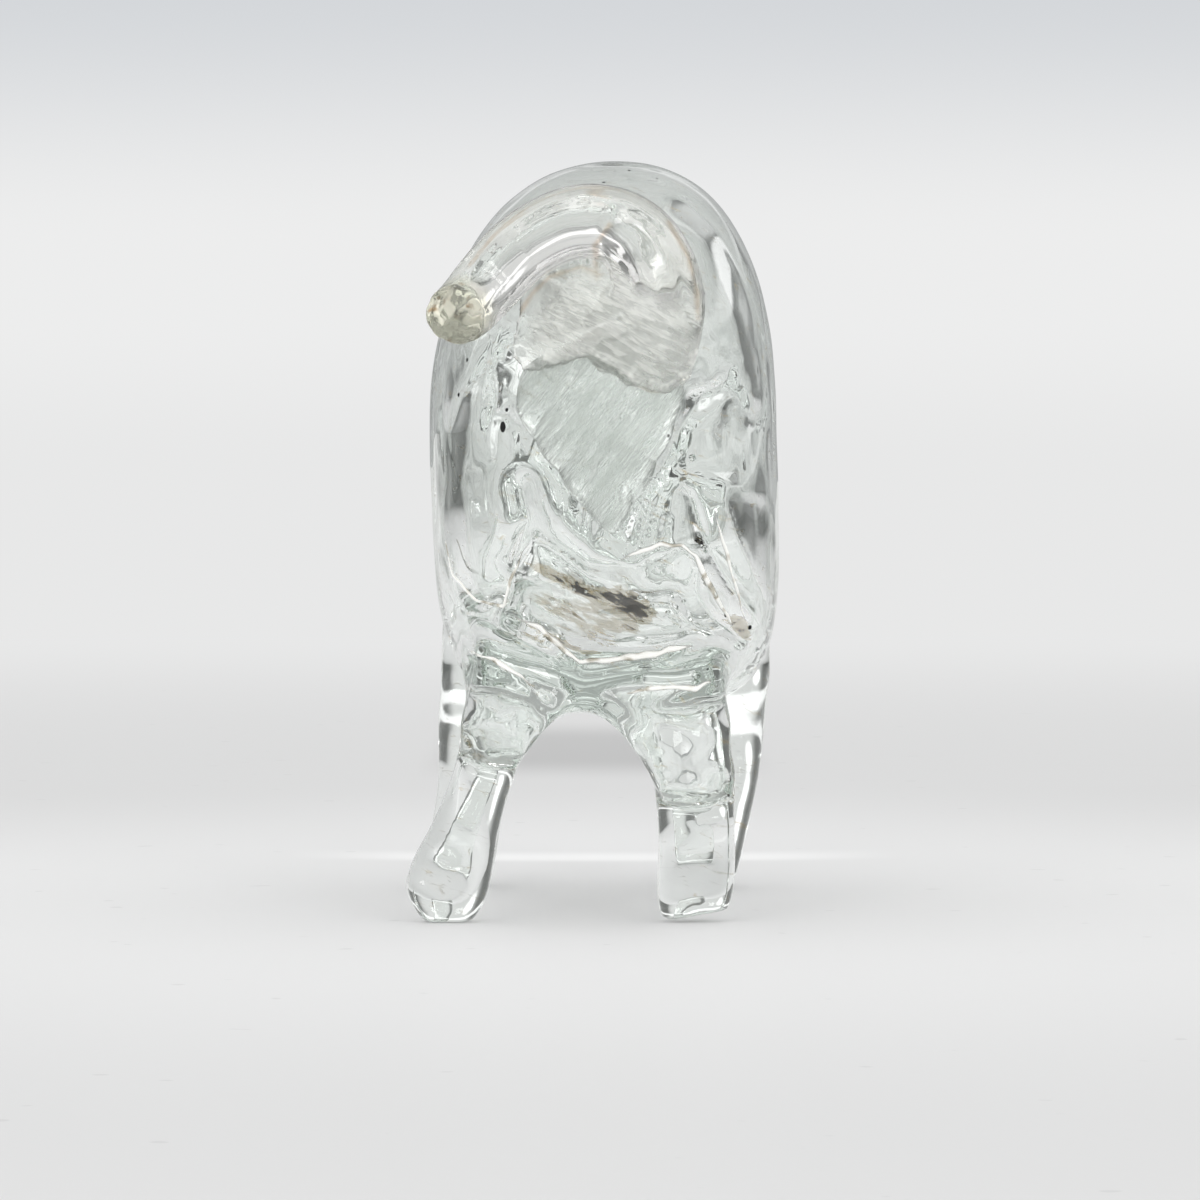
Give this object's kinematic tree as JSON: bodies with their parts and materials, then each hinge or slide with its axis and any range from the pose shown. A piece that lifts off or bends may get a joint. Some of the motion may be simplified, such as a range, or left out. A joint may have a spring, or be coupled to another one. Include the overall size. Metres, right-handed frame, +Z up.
{
  "type": "glass pig figurine",
  "caption": "Small standing pig of clear blown glass: a hollow oval body on pinched legs, with a disc snout, leaf-shaped ears and a thick tail curled over its rump.",
  "frame": {"origin": "centre of the bounding box, at the bottom: the plane of the four soles", "axes": "+Z up; +Y forwards, towards the snout; +X to the pig's right"},
  "size_m": [0.0397, 0.1182, 0.0807],
  "materials": {
    "green_glass": "clear soda glass with a faint green-grey tint, polished by fire",
    "pink_glass": "clear glass with a faint pink tint, brushed and frosty at its root, amber at the cut tip",
    "dark_glass": "dark brown glass dots"
  },
  "bodies": {
    "root": {"torso": "green_glass", "rump_seal": "green_glass", "tail": "pink_glass", "head": "green_glass", "snout": "green_glass", "ear_left": "green_glass", "ear_right": "green_glass", "eye_left": "dark_glass", "eye_right": "dark_glass", "leg_hind_left": "green_glass", "leg_hind_right": "green_glass", "leg_front_left": "green_glass", "leg_front_right": "green_glass"}
  },
  "joints": []
}
